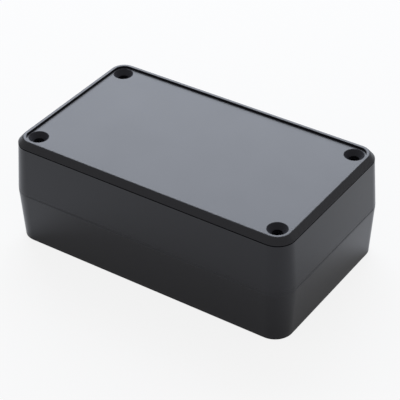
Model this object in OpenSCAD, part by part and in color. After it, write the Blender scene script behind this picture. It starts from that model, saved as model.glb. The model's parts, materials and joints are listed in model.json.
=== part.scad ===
// Plastic project box: a moulded tub and the screw-down lid that closes it.
// Origin at the centre of the underside, length along X, width along Y, +Z up.

/* [Overall size] */
// Length over the waist, the widest line round the tub
case_length = 112; // [80:1:160]
// Width over the waist
case_width = 66.2; // [56:0.1:100]
// Height of the tub, from its underside to the seat for the lid
tub_height = 38.4; // [30:0.2:60]
// Corner radius at the waist
corner_radius = 7.9; // [7.5:0.1:9]
// Radius on the edge round the underside
foot_radius = 0.2; // [0.1:0.1:0.8]

/* [Tub walls] */
// Height of the waist above the underside
waist_height = 19.8; // [14:0.2:24]
// How far each outer wall leans in from the waist, both upwards and downwards
wall_lean = 1.2; // [0.6:0.1:1.6]
// Wall thickness at the seat
wall = 2.2; // [1.8:0.1:2.6]
// Thickness of the floor
floor_thickness = 2.4; // [2:0.1:4]
// How much narrower the cavity is at the floor than at the seat, on each side
cavity_draft = 0.4; // [0.2:0.1:0.8]
// Radius where the inside of the floor runs up into the walls
cavity_fillet = 1; // [0.5:0.1:1.5]
// Depth of the fine witness line where the two halves of the mould met
witness_depth = 0.09; // [0.05:0.01:0.2]
// How far above and below the waist the wall starts to curve
waist_curve = 1.2; // [0.6:0.1:2]
// Height of the dark gap that a step in the tub's top edge leaves under the lid
seam_gap = 0.3; // [0.15:0.05:0.4]
// Depth of that step
seam_step = 0.4; // [0.2:0.05:0.6]

/* [Lid] */
// Height of the raised rim above the seat
rim_height = 2.3; // [2:0.05:3]
// Height of the small upright edge under the rim's chamfer
edge_height = 0.15; // [0.1:0.05:0.6]
// Width of the chamfer round the outside of the rim
chamfer_width = 1.8; // [1:0.1:2]
// Width of the top of the rim
rim_width = 1.1; // [1:0.1:1.6]
// Radius on the edge where the chamfer meets the top of the rim
rim_radius = 0.7; // [0.2:0.1:1]
// Depth of the flat field below the top of the rim
field_depth = 0.75; // [0.5:0.05:1.1]
// Thickness of the panel under the field
panel_thickness = 2.5; // [2.2:0.1:2.8]
// Gap on each side between the panel's plug and the tub wall
plug_clearance = 0.25; // [0.15:0.05:0.4]

/* [Screws] */
// Distance from each short edge of the lid in to the screw centres
screw_inset_x = 6.85; // [6.6:0.05:9]
// Distance from each long edge of the lid in to the screw centres
screw_inset_y = 7.2; // [6.6:0.1:9]
// Clearance hole through the lid
screw_hole_d = 3.6; // [3.2:0.1:4]
// Mouth of the countersink
countersink_d = 7; // [6:0.1:7.2]
// Pilot hole that a self-tapping screw cuts its thread in
pilot_hole_d = 2.8; // [2.4:0.1:3]
// Depth of the pilot hole from the top of the corner post
pilot_depth = 14; // [8:1:20]
// Diameter of the corner posts
post_d = 8.4; // [7:0.1:9]

/* [Card guides] */
// Width of a slot that holds the edge of a circuit board
slot_width = 1.8; // [1.6:0.1:2.2]
// Width of each rib beside a slot
guide_rib_width = 1.2; // [1:0.1:1.6]
// How far the ribs stand out from the cavity wall
guide_rib_depth = 1.5; // [1:0.1:2]
// Distance from one slot to the next
slot_pitch = 12; // [8:1:14]
// Distance from the seat down to the top of the ribs
guide_top_gap = 5; // [3:0.5:10]

/* [Hidden] */
$fn = 96;

// Half lengths of the rectangle that joins the four corner centres
core_x = case_length / 2 - corner_radius;
core_y = case_width / 2 - corner_radius;

// Radii are measured out from that rectangle, and heights from the underside
seam_radius = corner_radius - wall_lean;
cavity_radius = seam_radius - wall;
cavity_floor_radius = cavity_radius - cavity_draft;
rim_top = tub_height + rim_height;
field_top = rim_top - field_depth;
panel_bottom = field_top - panel_thickness;
countersink_depth = (countersink_d - screw_hole_d) / 2;
long_wall_face = core_y + cavity_radius;
short_wall_face = core_x + cavity_radius;
screw_span_x = 2 * (core_x + seam_radius - screw_inset_x);
screw_span_y = 2 * (core_y + seam_radius - screw_inset_y);

// How far each cut runs past the face that it goes through
overrun = 1;

plastic = [0.16, 0.16, 0.18];
lid_plastic = [0.2, 0.2, 0.22];

// Solid with one wall profile all the way round a rounded rectangle.
// profile lists [radius, height] from the bottom edge to the top edge.
module rounded_block(profile) {
    bottom = profile[0][1];
    top = profile[len(profile) - 1][1];
    rotate([90, 0, 90])
        linear_extrude(height = 2 * core_x, center = true)
            wall_section(core_y, profile);
    rotate([90, 0, 0])
        linear_extrude(height = 2 * core_y, center = true)
            wall_section(core_x, profile);
    for (x = [-core_x, core_x], y = [-core_y, core_y])
        translate([x, y, 0])
            rotate_extrude()
                polygon(concat([[0, bottom]], profile, [[0, top]]));
}

// Full cross-section of the block, from one wall to the opposite one
module wall_section(core, profile) {
    right_side = [for (point = profile) [core + point[0], point[1]]];
    left_side = [for (i = [len(profile) - 1:-1:0]) [-core - profile[i][0], profile[i][1]]];
    polygon(concat(right_side, left_side));
}

// Quarter round for the bottom edge of a profile, out to radius and up from height
function rounded_edge(radius, height, size) = [
    for (angle = [0:22.5:90])
        [radius - size + size * sin(angle), height + size - size * cos(angle)]
];

module at_screws() {
    for (x = [-1, 1], y = [-1, 1])
        translate([x * screw_span_x / 2, y * screw_span_y / 2, 0])
            children();
}

// One side of the waist's curve, from the wall (side = -1 below, 1 above) to the witness line
function waist_half(side) = [
    for (share = [1, 0.6, 0.2])
        [
            corner_radius - share * share * waist_curve * wall_lean / waist_height / 2,
            waist_height + side * share * waist_curve
        ]
];

// Outside of the tub: walls that lean in both ways from the waist
module tub_outside() {
    above = waist_half(1);
    rounded_block(concat(
        rounded_edge(seam_radius, 0, foot_radius),
        waist_half(-1),
        [
            [corner_radius - witness_depth, waist_height],
            above[2], above[1], above[0],
            [seam_radius, tub_height - seam_gap],
            [seam_radius - seam_step, tub_height - seam_gap],
            [seam_radius - seam_step, tub_height]
        ]
    ));
}

// Inside of the tub, as the core of the mould gives it
module tub_inside() {
    difference() {
        rounded_block(concat(
            rounded_edge(cavity_floor_radius, floor_thickness, cavity_fillet),
            [
                [cavity_radius, tub_height],
                [cavity_radius, tub_height + overrun]
            ]
        ));
        corner_posts();
        card_guides();
    }
}

// Round posts that take the lid's screws, each joined to both walls of its corner
module corner_posts() {
    reach = corner_radius;
    for (x = [-1, 1], y = [-1, 1])
        scale([x, y, 1])
            translate([screw_span_x / 2, screw_span_y / 2, 0]) {
                cylinder(d = post_d, h = panel_bottom);
                translate([0, -post_d / 2, 0])
                    cube([reach, post_d, panel_bottom]);
                translate([-post_d / 2, 0, 0])
                    cube([post_d, reach, panel_bottom]);
            }
}

// Upright ribs in pairs, with a board's width between the two of a pair
module card_guides() {
    for (side = [0, 180])
        rotate([0, 0, side])
            guide_row(screw_span_x - post_d, long_wall_face);
    for (side = [90, 270])
        rotate([0, 0, side])
            guide_row(screw_span_y - post_d, short_wall_face);
}

// One wall's row of slots, as many as the room between two posts holds.
// The row runs along X, on the wall whose inner face is at y = face.
module guide_row(room, face) {
    pair_width = slot_width + 2 * guide_rib_width;
    gaps = floor((room - pair_width) / slot_pitch);
    for (i = [0:gaps], rib_start = [-pair_width / 2, slot_width / 2])
        translate([(i - gaps / 2) * slot_pitch + rib_start, face - guide_rib_depth, 0])
            cube([guide_rib_width, guide_rib_depth + wall, tub_height - guide_top_gap]);
}

module case_base() {
    color(plastic)
        difference() {
            tub_outside();
            tub_inside();
            at_screws()
                translate([0, 0, panel_bottom - pilot_depth])
                    cylinder(d = pilot_hole_d, h = pilot_depth + overrun);
        }
}

// The round from the chamfer up to the flat top of the rim
function rim_round(slope) = [
    for (share = [1:-0.25:0])
        [
            seam_radius - chamfer_width
                + rim_radius * (sin(share * slope) - tan(slope / 2)),
            rim_top - rim_radius * (1 - cos(share * slope))
        ]
];

// Raised rim with its chamfer, and the plug that drops inside the tub wall
module lid_outside() {
    rounded_block(concat(
        [
            [seam_radius, tub_height],
            [seam_radius, tub_height + edge_height]
        ],
        rim_round(atan2(rim_height - edge_height, chamfer_width))
    ));
    plug_radius = cavity_radius - plug_clearance;
    rounded_block([
        [plug_radius, panel_bottom],
        [plug_radius, tub_height + edge_height]
    ]);
}

module screw_hole() {
    translate([0, 0, panel_bottom - overrun])
        cylinder(d = screw_hole_d, h = panel_thickness + overrun);
    translate([0, 0, field_top - countersink_depth])
        cylinder(d1 = screw_hole_d, d2 = countersink_d, h = countersink_depth);
    translate([0, 0, field_top])
        cylinder(d = countersink_d, h = field_depth + overrun);
}

module case_lid() {
    field_radius = seam_radius - chamfer_width - rim_width;
    color(lid_plastic)
        difference() {
            lid_outside();
            rounded_block([
                [field_radius, field_top],
                [field_radius, rim_top + overrun]
            ]);
            at_screws()
                screw_hole();
        }
}

case_base();
case_lid();
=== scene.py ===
# %% [markdown]
# # A moulded plastic project box
#
# The box is two mouldings in black ABS: a deep tub, whose walls are widest at
# half height, and a lid with a raised rim round a flat field. Four countersunk
# holes take the screws that hold the lid down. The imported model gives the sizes
# and places of both pieces.

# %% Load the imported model
import json
import math

import bmesh
import bpy
from mathutils import Matrix, Vector


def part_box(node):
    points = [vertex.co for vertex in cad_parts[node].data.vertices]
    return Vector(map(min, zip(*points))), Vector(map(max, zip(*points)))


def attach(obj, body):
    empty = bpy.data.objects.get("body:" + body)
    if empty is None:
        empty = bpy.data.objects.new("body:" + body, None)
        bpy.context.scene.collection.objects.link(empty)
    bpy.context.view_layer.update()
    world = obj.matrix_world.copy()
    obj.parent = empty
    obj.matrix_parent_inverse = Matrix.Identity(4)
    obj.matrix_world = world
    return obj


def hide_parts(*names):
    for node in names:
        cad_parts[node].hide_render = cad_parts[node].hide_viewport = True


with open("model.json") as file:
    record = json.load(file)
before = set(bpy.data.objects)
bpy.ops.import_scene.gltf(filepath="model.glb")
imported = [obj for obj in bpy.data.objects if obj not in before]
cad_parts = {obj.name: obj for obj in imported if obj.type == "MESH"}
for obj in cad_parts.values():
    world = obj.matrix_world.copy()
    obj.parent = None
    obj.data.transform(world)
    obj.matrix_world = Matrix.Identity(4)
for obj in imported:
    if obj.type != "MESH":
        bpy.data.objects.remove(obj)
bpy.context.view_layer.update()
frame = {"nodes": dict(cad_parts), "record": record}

print("nodes:", sorted(frame["nodes"]))

# %% [markdown]
# ## Sizes
#
# Blender works in metres, so MM turns the millimetres of a drawing into them.
# The seat is the height at which lid and tub meet, which is the top of the tub.
# The screw centres come from the record of mounts that was packed with the part.

# %% Read the sizes
MM = 0.001
base_low, base_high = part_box("case_base")
lid_low, lid_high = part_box("case_lid")
mounts = {mount["name"]: mount for mount in frame["record"]["mounts"]}

seat = base_high.z
rim_top = lid_high.z
panel_bottom = lid_low.z
lid_length = lid_high.x - lid_low.x
lid_width = lid_high.y - lid_low.y
screw_rows = mounts["lid_screw_holes"]["dims"]
screw_x = screw_rows["spacing_x_mm"] * MM / 2
screw_y = screw_rows["spacing_y_mm"] * MM / 2
screw_hole_radius = screw_rows["hole_r_mm"] * MM
print("seat and rim heights, mm:", round(seat / MM, 2), round(rim_top / MM, 2))
print("screw centres, mm:", round(2 * screw_x / MM, 2), "by", round(2 * screw_y / MM, 2))

# %% [markdown]
# ## Camera
#
# A long lens from half a metre away looks down on one corner, so both near
# walls and the whole lid show with little perspective. Azimuth 0 is straight in
# front of the long wall, and it grows towards the right.

# %% Place the camera
CAMERA_AZIMUTH = math.radians(34.02)
CAMERA_ELEVATION = math.radians(35.91)
CAMERA_ROLL = math.radians(-0.54)
CAMERA_DISTANCE = 541.5 * MM
CAMERA_LENS = 140.81
CAMERA_TARGET = Vector((2.84, -1.42, 19.18)) * MM


def direction(azimuth, elevation):
    """Unit vector from the box outwards, in radians, azimuth 0 towards -Y."""
    return Vector((
        math.sin(azimuth) * math.cos(elevation),
        -math.cos(azimuth) * math.cos(elevation),
        math.sin(elevation),
    ))


camera_side = direction(CAMERA_AZIMUTH, CAMERA_ELEVATION)
bpy.ops.object.camera_add(location=CAMERA_TARGET + CAMERA_DISTANCE * camera_side)
camera = bpy.context.object
camera.name = "camera"
facing = camera_side.to_track_quat("Z", "Y").to_matrix()
camera.rotation_euler = (facing @ Matrix.Rotation(CAMERA_ROLL, 3, "Z")).to_euler()
camera.data.lens = CAMERA_LENS
camera.data.clip_start = 10 * MM
bpy.context.scene.camera = camera
print("camera stands at, mm:", [round(c / MM) for c in camera.location])

# %% [markdown]
# ## Working in edit mode
#
# An operator acts on whatever is selected. In a window that is done with clicks,
# and here a test on each face or edge does it, such as "its normal points up".
# The first helper starts a new piece with nothing else selected.

# %% Edit-mode helpers
def deselect_all():
    """Leaves no object selected, so that the next operator touches only its own."""
    bpy.ops.object.select_all(action="DESELECT")


def select_faces(piece, wanted):
    """In edit mode, selects exactly the faces for which wanted(face) is true."""
    select_elements(piece, "FACE", wanted)


def select_edges(piece, wanted):
    """In edit mode, selects exactly the edges for which wanted(edge) is true."""
    select_elements(piece, "EDGE", wanted)


def select_elements(piece, kind, wanted):
    bpy.ops.mesh.select_mode(type=kind)
    bpy.ops.mesh.select_all(action="DESELECT")
    mesh = bmesh.from_edit_mesh(piece.data)
    mesh.normal_update()
    elements = mesh.faces if kind == "FACE" else mesh.edges
    chosen = [element for element in elements if wanted(element)]
    for element in chosen:
        element.select_set(True)
    bmesh.update_edit_mesh(piece.data)
    print("  selected", len(chosen), kind.lower() + "s of", piece.name)


def apply_modifier(piece, modifier):
    """Makes a modifier's result the piece's own mesh."""
    deselect_all()
    piece.select_set(True)
    bpy.context.view_layer.objects.active = piece
    bpy.ops.object.modifier_apply(modifier=modifier.name)

# %% [markdown]
# ## The tub
#
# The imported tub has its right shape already. Where the two halves of its mould
# met, a witness line runs round the waist, and on a real box the tumbling of
# finished parts wears it down. So a copy of the tub is made, its loose triangles
# are merged, and the bottom of that fine groove is pushed most of the way out.

# %% Wear down the witness line
WAIST_HEIGHT = 19.8 * MM
LONG_SIDE = base_high.x - 3 * MM
SHORT_SIDE = base_high.y - 3 * MM
WITNESS_WEAR = 0.06 * MM
WITNESS_BAND = 0.02 * MM
MERGE_DISTANCE = 0.001 * MM
SMOOTH_ANGLE = math.radians(30)

deselect_all()
packed_tub = frame["nodes"]["case_base"]
packed_tub.select_set(True)
bpy.context.view_layer.objects.active = packed_tub
bpy.ops.object.duplicate(linked=False)
tub = bpy.context.object
tub.name = "tub"


def on_witness_line(edge):
    return all(
        abs(vert.co.z - WAIST_HEIGHT) < WITNESS_BAND
        and (abs(vert.co.x) > LONG_SIDE or abs(vert.co.y) > SHORT_SIDE)
        for vert in edge.verts
    )


bpy.ops.object.mode_set(mode="EDIT")
bpy.ops.mesh.select_all(action="SELECT")
bpy.ops.mesh.remove_doubles(threshold=MERGE_DISTANCE)
select_edges(tub, on_witness_line)
bpy.ops.transform.shrink_fatten(value=WITNESS_WEAR)
bpy.ops.object.mode_set(mode="OBJECT")
bpy.ops.mesh.customdata_custom_splitnormals_clear()
bpy.ops.object.shade_smooth_by_angle(angle=SMOOTH_ANGLE)
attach(tub, "root")
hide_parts("case_base")
print("tub:", len(tub.data.polygons), "faces")

# %% [markdown]
# ## The lid: a blank with round corners
#
# The lid's outline is a rectangle with round corners. A low block is enough to
# start from, because every other level of the lid is that outline moved inwards
# by an even amount. Bevelling the four upright edges rounds the corners, and 24
# segments keep them smooth.

# %% Make the blank
LID_CORNER = 6.7 * MM
EDGE_BOTTOM = 0.13 * MM
EDGE_TOP = 0.18 * MM
CORNER_SEGMENTS = 24

blank_bottom = seat + EDGE_BOTTOM
blank_top = seat + EDGE_TOP
deselect_all()
bpy.ops.mesh.primitive_cube_add(size=1)
lid = bpy.context.object
lid.name = "lid"
bpy.ops.object.mode_set(mode="EDIT")
bpy.ops.transform.resize(value=(lid_length, lid_width, blank_top - blank_bottom))
bpy.ops.transform.translate(value=(0, 0, (blank_bottom + blank_top) / 2))


def is_upright(edge):
    ends = edge.verts[0].co - edge.verts[1].co
    return Vector((ends.x, ends.y)).length < 0.01 * MM


select_edges(lid, is_upright)
bpy.ops.mesh.bevel(offset=LID_CORNER, segments=CORNER_SEGMENTS, affect="EDGES")

# %% [markdown]
# ## The rim and the field
#
# Inset moves a face's outline in by an even amount, and its depth lifts the face
# at the same time. One inset with depth is therefore the chamfer, a level inset
# is the flat top of the rim, and an extrusion downwards sinks the field.

# %% Raise the rim and sink the field
CHAMFER_WIDTH = 1.8 * MM
RIM_WIDTH = 1.1 * MM
FIELD_DEPTH = 0.75 * MM

field_top = rim_top - FIELD_DEPTH
select_faces(lid, lambda face: face.normal.z > 0.99)
bpy.ops.mesh.inset(thickness=CHAMFER_WIDTH, depth=rim_top - blank_top)
bpy.ops.mesh.inset(thickness=RIM_WIDTH, depth=0)
bpy.ops.mesh.extrude_region_move(TRANSFORM_OT_translate={"value": (0, 0, -FIELD_DEPTH)})

# %% [markdown]
# ## The underside and the plug
#
# Underneath, the same moves make the ledge that sits on the wall of the tub and
# the plug that drops inside it. The first inset slopes, so the lid's lower edge
# is a little above the seat. The tub's own edge is stepped back below it, and
# the thin dark gap between them hides any difference between the two mouldings.

# %% Make the plug
UNDERCUT_WIDTH = 0.4 * MM
LEDGE_WIDTH = 2.05 * MM

select_faces(lid, lambda face: face.normal.z < -0.99)
bpy.ops.mesh.inset(thickness=UNDERCUT_WIDTH, depth=EDGE_BOTTOM)
bpy.ops.mesh.inset(thickness=LEDGE_WIDTH, depth=0)
bpy.ops.mesh.extrude_region_move(TRANSFORM_OT_translate={"value": (0, 0, panel_bottom - seat)})

# %% [markdown]
# ## Softened rim edges
#
# A mould never leaves a knife edge on the rim. The outer edge is rounded enough
# to see, and the inner one only as much as a cutter leaves in the corner of a
# mould. Both catch a thin line of light, which tells the eye that this is
# plastic and not card.

# %% Round the rim's two top edges
OUTER_RADIUS = 0.7 * MM
INNER_RADIUS = 0.15 * MM
ROUND_SEGMENTS = 5


def round_rim_edge(radius, least_turn, most_turn):
    """Rounds the level edges on top of the rim whose faces turn by so much, in degrees."""
    turns = []

    def wanted(edge):
        level = all(abs(vert.co.z - rim_top) < 0.01 * MM for vert in edge.verts)
        turn = edge.calc_face_angle(0)
        chosen = level and math.radians(least_turn) < turn < math.radians(most_turn)
        if chosen:
            turns.append(turn)
        return chosen

    select_edges(lid, wanted)
    tangent = radius * math.tan(turns[0] / 2)
    bpy.ops.mesh.bevel(offset=tangent, segments=ROUND_SEGMENTS, affect="EDGES")


round_rim_edge(INNER_RADIUS, 80, 100)
round_rim_edge(OUTER_RADIUS, 20, 80)
bpy.ops.object.mode_set(mode="OBJECT")
print("lid before its holes:", len(lid.data.polygons), "faces")

# %% [markdown]
# ## The screw holes
#
# Each hole is the shape of a countersunk screw: a straight bore, a cone at 45
# degrees, and a lip with its sharp edge taken off. The cutter is a
# disc, extruded upwards and resized at each step. Three copies in edit mode make
# the other corners, and one boolean cuts all four holes.

# %% Make the cutter
MOUTH_RADIUS = 3.5 * MM
LIP_TANGENT = 0.12 * MM
LIP_STEPS = 4
CUTTER_OVERRUN = 1 * MM

lip_radius = LIP_TANGENT / math.tan(math.radians(22.5))
lip_centre = Vector((MOUTH_RADIUS + LIP_TANGENT, field_top - lip_radius))
cone_bottom = field_top - (MOUTH_RADIUS - screw_hole_radius)
cutter_profile = [
    (screw_hole_radius, panel_bottom - CUTTER_OVERRUN),
    (screw_hole_radius, cone_bottom),
]
for step in range(LIP_STEPS + 1):
    angle = math.radians(135 - 45 * step / LIP_STEPS)
    cutter_profile.append((
        lip_centre.x + lip_radius * math.cos(angle),
        lip_centre.y + lip_radius * math.sin(angle),
    ))
cutter_profile.append((lip_centre.x, rim_top + CUTTER_OVERRUN))

deselect_all()
bpy.ops.mesh.primitive_circle_add(
    vertices=64, radius=cutter_profile[0][0], fill_type="NGON",
    location=(screw_x, screw_y, cutter_profile[0][1]),
)
cutter = bpy.context.object
cutter.name = "screw_hole_cutter"
bpy.ops.object.transform_apply(location=True, rotation=False, scale=False)
bpy.ops.object.mode_set(mode="EDIT")
for (radius, height), (next_radius, next_height) in zip(cutter_profile, cutter_profile[1:]):
    bpy.ops.mesh.extrude_region_move(
        TRANSFORM_OT_translate={"value": (0, 0, next_height - height)}
    )
    shrink = next_radius / radius
    bpy.ops.transform.resize(
        value=(shrink, shrink, 1), center_override=(screw_x, screw_y, next_height)
    )
bpy.ops.mesh.select_all(action="SELECT")
bpy.ops.mesh.duplicate_move(TRANSFORM_OT_translate={"value": (-2 * screw_x, 0, 0)})
bpy.ops.mesh.select_all(action="SELECT")
bpy.ops.mesh.duplicate_move(TRANSFORM_OT_translate={"value": (0, -2 * screw_y, 0)})
bpy.ops.mesh.select_all(action="SELECT")
bpy.ops.mesh.normals_make_consistent(inside=False)
bpy.ops.object.mode_set(mode="OBJECT")
print("cutter:", len(cutter.data.polygons), "faces")

# %% Cut the holes
WELD_DISTANCE = 0.002 * MM

screw_holes = lid.modifiers.new("screw_holes", "BOOLEAN")
screw_holes.operation = "DIFFERENCE"
screw_holes.solver = "EXACT"
screw_holes.object = cutter
apply_modifier(lid, screw_holes)
bpy.data.objects.remove(cutter)
bpy.ops.object.mode_set(mode="EDIT")
bpy.ops.mesh.select_all(action="SELECT")
bpy.ops.mesh.remove_doubles(threshold=WELD_DISTANCE)
bpy.ops.mesh.dissolve_degenerate(threshold=WELD_DISTANCE)
bpy.ops.object.mode_set(mode="OBJECT")
print("lid with its holes:", len(lid.data.polygons), "faces")

# %% [markdown]
# ## Shading the lid
#
# Faces that meet at less than 30 degrees are shaded as one surface, which makes
# the corners and the small roundings smooth. Weighted normals then let the big
# flat faces win over the narrow ones, so the field stays flat up to its edge.

# %% Shade the lid
deselect_all()
lid.select_set(True)
bpy.context.view_layer.objects.active = lid
bpy.ops.object.shade_smooth_by_angle(angle=SMOOTH_ANGLE)
weighted = lid.modifiers.new("weighted_normals", "WEIGHTED_NORMAL")
weighted.keep_sharp = True
apply_modifier(lid, weighted)
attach(lid, "root")
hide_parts("case_lid")

# %% [markdown]
# ## Shader maths in Python
#
# A material is a graph of nodes. Drawing one by hand hides its arithmetic, so a
# small class wraps a socket: + - and * on it add the Math nodes, and one method
# adds any other node.

# %% The shader helper
class Shade:
    """A value in a node tree, with arithmetic that adds Math nodes."""

    def __init__(self, tree, socket=None):
        self.tree = tree
        self.socket = socket

    def node(self, kind, settings=None, sockets=None, output=0):
        """Adds a node: its settings first, then the values or links of its sockets."""
        made = self.tree.nodes.new(kind)
        for name, value in (settings or {}).items():
            setattr(made, name, value)
        for name, value in (sockets or {}).items():
            if isinstance(value, Shade):
                self.tree.links.new(value.socket, made.inputs[name])
            else:
                made.inputs[name].default_value = value
        return Shade(self.tree, made.outputs[output])

    def maths(self, operation, first, second):
        return self.node("ShaderNodeMath", {"operation": operation}, {0: first, 1: second})

    def __add__(self, other):
        return self.maths("ADD", self, other)

    def __radd__(self, other):
        return self.maths("ADD", other, self)

    def __sub__(self, other):
        return self.maths("SUBTRACT", self, other)

    def __rsub__(self, other):
        return self.maths("SUBTRACT", other, self)

    def __mul__(self, other):
        return self.maths("MULTIPLY", self, other)

    def __rmul__(self, other):
        return self.maths("MULTIPLY", other, self)


def new_material(name):
    """An empty material, and the Shade that adds nodes to it."""
    material = bpy.data.materials.new(name)
    material.use_nodes = True
    material.node_tree.nodes.clear()
    return material, Shade(material.node_tree)

# %% [markdown]
# ## Floor, world and softbox
#
# Dark plastic shows its surroundings more than its own colour, so the light is
# planned as things for it to mirror. The field mirrors a soft lamp behind and to
# the left. That lamp also throws the box's shadow forwards, so the front wall
# mirrors shaded floor and is dark, and the right wall mirrors lit floor. To the
# camera, floor and background are white, and the floor keeps a soft shadow.

# %% Floor and world
FLOOR_SIZE = 6.0
FLOOR_GREY = 0.82
WHITE_TO_CAMERA = 0.85
WHITE_TO_GLOSS = 0.1
AMBIENT = 0.45

bpy.ops.mesh.primitive_plane_add(size=FLOOR_SIZE, location=(0, 0, 0))
floor = bpy.context.object
floor.name = "floor"
pale_floor, shade = new_material("pale_floor")
matt = shade.node(
    "ShaderNodeBsdfDiffuse", None, {"Color": (FLOOR_GREY, FLOOR_GREY, FLOOR_GREY, 1)}
)
white = shade.node("ShaderNodeEmission", None, {"Color": (1, 1, 1, 1), "Strength": 1.0})
is_camera = shade.node("ShaderNodeLightPath", output="Is Camera Ray")
is_glossy = shade.node("ShaderNodeLightPath", output="Is Glossy Ray")
is_transmission = shade.node("ShaderNodeLightPath", output="Is Transmission Ray")
white_share = is_camera * WHITE_TO_CAMERA + (is_glossy + is_transmission) * WHITE_TO_GLOSS
floor_look = shade.node("ShaderNodeMixShader", None, {0: white_share, 1: matt, 2: white})
surface = pale_floor.node_tree.nodes.new("ShaderNodeOutputMaterial")
pale_floor.node_tree.links.new(floor_look.socket, surface.inputs["Surface"])
floor.data.materials.append(pale_floor)

world = bpy.data.worlds.new("studio")
world.use_nodes = True
bpy.context.scene.world = world
world.node_tree.nodes.clear()
shade = Shade(world.node_tree)
is_camera = shade.node("ShaderNodeLightPath", output="Is Camera Ray")
level = AMBIENT + is_camera * (1 - AMBIENT)
sky = shade.node("ShaderNodeBackground", None, {"Color": (1, 1, 1, 1), "Strength": level})
sky_output = world.node_tree.nodes.new("ShaderNodeOutputWorld")
world.node_tree.links.new(sky.socket, sky_output.inputs["Surface"])
bpy.context.scene.view_settings.view_transform = "Standard"

# %% The softbox
KEY_AZIMUTH = math.radians(214)
KEY_ELEVATION = math.radians(38)
KEY_DISTANCE = 1.0
KEY_SIZE = 0.9
KEY_POWER = 10
KEY_TINT = (0.82, 0.88, 1)

towards_key = direction(KEY_AZIMUTH, KEY_ELEVATION)
key_place = Vector((0, 0, seat / 2)) + KEY_DISTANCE * towards_key
bpy.ops.object.light_add(type="AREA", location=key_place)
key = bpy.context.object
key.name = "back_left"
key.rotation_euler = towards_key.to_track_quat("Z", "Y").to_euler()
key.data.shape = "SQUARE"
key.data.size = KEY_SIZE
key.data.energy = KEY_POWER
key.data.color = KEY_TINT
key.visible_camera = False
print("softbox stands at, mm:", [round(c / MM) for c in key_place])

# %% [markdown]
# ## Black ABS
#
# One plastic makes both mouldings. What differs from face to face is the finish:
# a fine satin on the walls and the field, a coarser spark-eroded grain on the
# rim, and a dull cut surface on the countersinks. So one function makes the
# plastic, and each finish gives it a grain, a height and a roughness. Tumbling
# also dulls the waist, the widest line of the tub, in a soft band.

# %% The plastic
BLUE_SHARE = 1.6
ABS_IOR = 1.53
CLOUD_SIZE = 14 * MM
CLOUD_DEPTH = 0.06
DULL_CORE = 0.2 * MM
DULL_EDGE = 1.4 * MM
DULL_GAIN = 0.16


def black_abs(name, roughness, grain, grain_height, grey=0.007, shine=0.5, dull_height=None):
    """Black plastic with a moulded grain: grain is its size, and grain_height how proud it stands.

    shine is the strength of its reflections, and 0.5 is that of smooth plastic. Where
    dull_height is given, a soft band at that height is duller than the rest.
    """
    material, shade = new_material(name)
    place = shade.node("ShaderNodeTexCoord", output="Object")
    fine = shade.node(
        "ShaderNodeTexNoise", None,
        {"Vector": place, "Scale": 1 / grain, "Detail": 2.0, "Roughness": 0.6},
    )
    bumped = shade.node(
        "ShaderNodeBump", None, {"Strength": 1.0, "Distance": grain_height, "Height": fine}
    )
    cloudy = shade.node(
        "ShaderNodeTexNoise", None, {"Vector": place, "Scale": 1 / CLOUD_SIZE, "Detail": 3.0}
    )
    gloss = roughness + (cloudy - 0.5) * CLOUD_DEPTH
    if dull_height:
        height = shade.node("ShaderNodeSeparateXYZ", None, {"Vector": place}, "Z")
        offset = shade.node("ShaderNodeMath", {"operation": "ABSOLUTE"}, {0: height - dull_height})
        band = shade.node("ShaderNodeMapRange", {"interpolation_type": "SMOOTHSTEP"}, {
            "Value": offset, "From Min": DULL_CORE, "From Max": DULL_EDGE,
            "To Min": DULL_GAIN, "To Max": 0,
        })
        gloss = gloss + band
    plastic = shade.node("ShaderNodeBsdfPrincipled", None, {
        "Base Color": (grey, grey, BLUE_SHARE * grey, 1),
        "Roughness": gloss, "Normal": bumped, "IOR": ABS_IOR, "Specular IOR Level": shine,
    })
    surface = material.node_tree.nodes.new("ShaderNodeOutputMaterial")
    material.node_tree.links.new(plastic.socket, surface.inputs["Surface"])
    return material


satin = black_abs("satin_plastic", 0.18, 0.3 * MM, 0.003 * MM, dull_height=WAIST_HEIGHT)
field_satin = black_abs("field_plastic", 0.34, 0.3 * MM, 0.004 * MM)
grained = black_abs("grained_plastic", 0.34, 0.8 * MM, 0.1 * MM)
cut = black_abs("cut_plastic", 0.5, 0.8 * MM, 0.06 * MM, grey=0.01, shine=0.3)

tub.data.materials.clear()
tub.data.materials.append(satin)

# %% Finish each face of the lid
FINISHES = [field_satin, grained, cut]
for finish in FINISHES:
    lid.data.materials.append(finish)


def in_countersink(face):
    """Whether a face is near a screw's axis, and neither level like the field nor upright."""
    centre = face.calc_center_median()
    off_axis = Vector((abs(centre.x) - screw_x, abs(centre.y) - screw_y)).length
    return off_axis < MOUTH_RADIUS + LIP_TANGENT and 0.1 < face.normal.z < 0.999


def on_rim(face):
    """Whether a face is on the outside or the top of the rim, and not its inner wall."""
    height = face.calc_center_median().z
    outside = seat < height < field_top and abs(face.normal.z) < 0.99
    return outside or height > field_top + 0.01 * MM and face.normal.z > 0.05


def give_finish(finish, wanted):
    """In edit mode, puts one of the lid's materials on the faces that are wanted."""
    select_faces(lid, wanted)
    lid.active_material_index = FINISHES.index(finish)
    bpy.ops.object.material_slot_assign()


deselect_all()
lid.select_set(True)
bpy.context.view_layer.objects.active = lid
bpy.ops.object.mode_set(mode="EDIT")
give_finish(field_satin, lambda face: True)
give_finish(grained, on_rim)
give_finish(cut, in_countersink)
bpy.ops.object.mode_set(mode="OBJECT")
